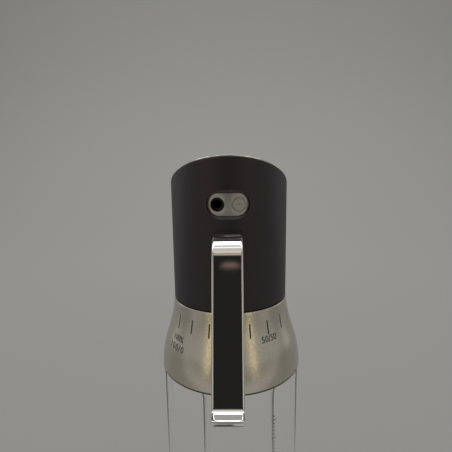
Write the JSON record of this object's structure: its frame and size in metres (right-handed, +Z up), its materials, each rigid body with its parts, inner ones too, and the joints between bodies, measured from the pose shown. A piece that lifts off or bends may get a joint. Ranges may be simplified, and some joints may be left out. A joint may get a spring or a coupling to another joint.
{
  "type": "oil and vinegar cruet",
  "caption": "Clear bottle with an inner oil vessel, a steel ratio dial and a black pouring head with a slanted steel top, a strap handle and air vents.",
  "frame": {"origin": "middle of the bottle's foot, on the table", "axes": "+Z up along the bottle's axis, -Y towards the handle, +Y towards the spout, +X to the right seen from the handle"},
  "size_m": [0.0756, 0.1172, 0.2217],
  "materials": {
    "glass": "clear, smooth",
    "clear_plastic": "translucent flexible tube",
    "black_plastic": "fine matte",
    "satin_steel": "satin",
    "polished_steel": "polished",
    "silicone": "matte translucent silicone",
    "white_plastic": "moulded"
  },
  "bodies": {
    "vessel": {"bottle": "glass"},
    "head": {"inner_vessel": "glass", "stopper_column": "black_plastic", "stopper_plug": "black_plastic", "plug_screw_1": "polished_steel", "plug_screw_2": "polished_steel", "bottle_seal": "silicone", "vessel_seal": "silicone", "retaining_ring": "polished_steel", "valve_cap": "white_plastic", "head_frame": "black_plastic", "frame_screw_1": "polished_steel", "frame_screw_2": "polished_steel", "cap_screw_1": "polished_steel", "cap_screw_2": "polished_steel", "cap_screw_3": "polished_steel", "head_shell": "black_plastic", "vent_plate": "satin_steel", "oil_check_valve": "silicone", "vent_block": "black_plastic", "vinegar_air_tube": "white_plastic", "oil_air_tube": "white_plastic", "top_plate": "polished_steel", "pour_spout": "black_plastic", "vinegar_tube": "clear_plastic", "oil_tube": "clear_plastic", "handle": "polished_steel", "handle_screw_1": "polished_steel", "handle_screw_2": "polished_steel"},
    "dial": {"dial_collar": "satin_steel", "dial_hub": "white_plastic", "valve_rotor": "white_plastic"}
  },
  "joints": [
    {"name": "head_lift", "type": "slide", "parent": "vessel", "child": "head", "axis": [0, 0, 1], "range_m": [0, 0.13]},
    {"name": "dial_turn", "type": "hinge", "parent": "head", "child": "dial", "pos_m": [0, 0, 0.13], "axis": [0, 0, 1], "range_deg": [-126, 54]}
  ]
}
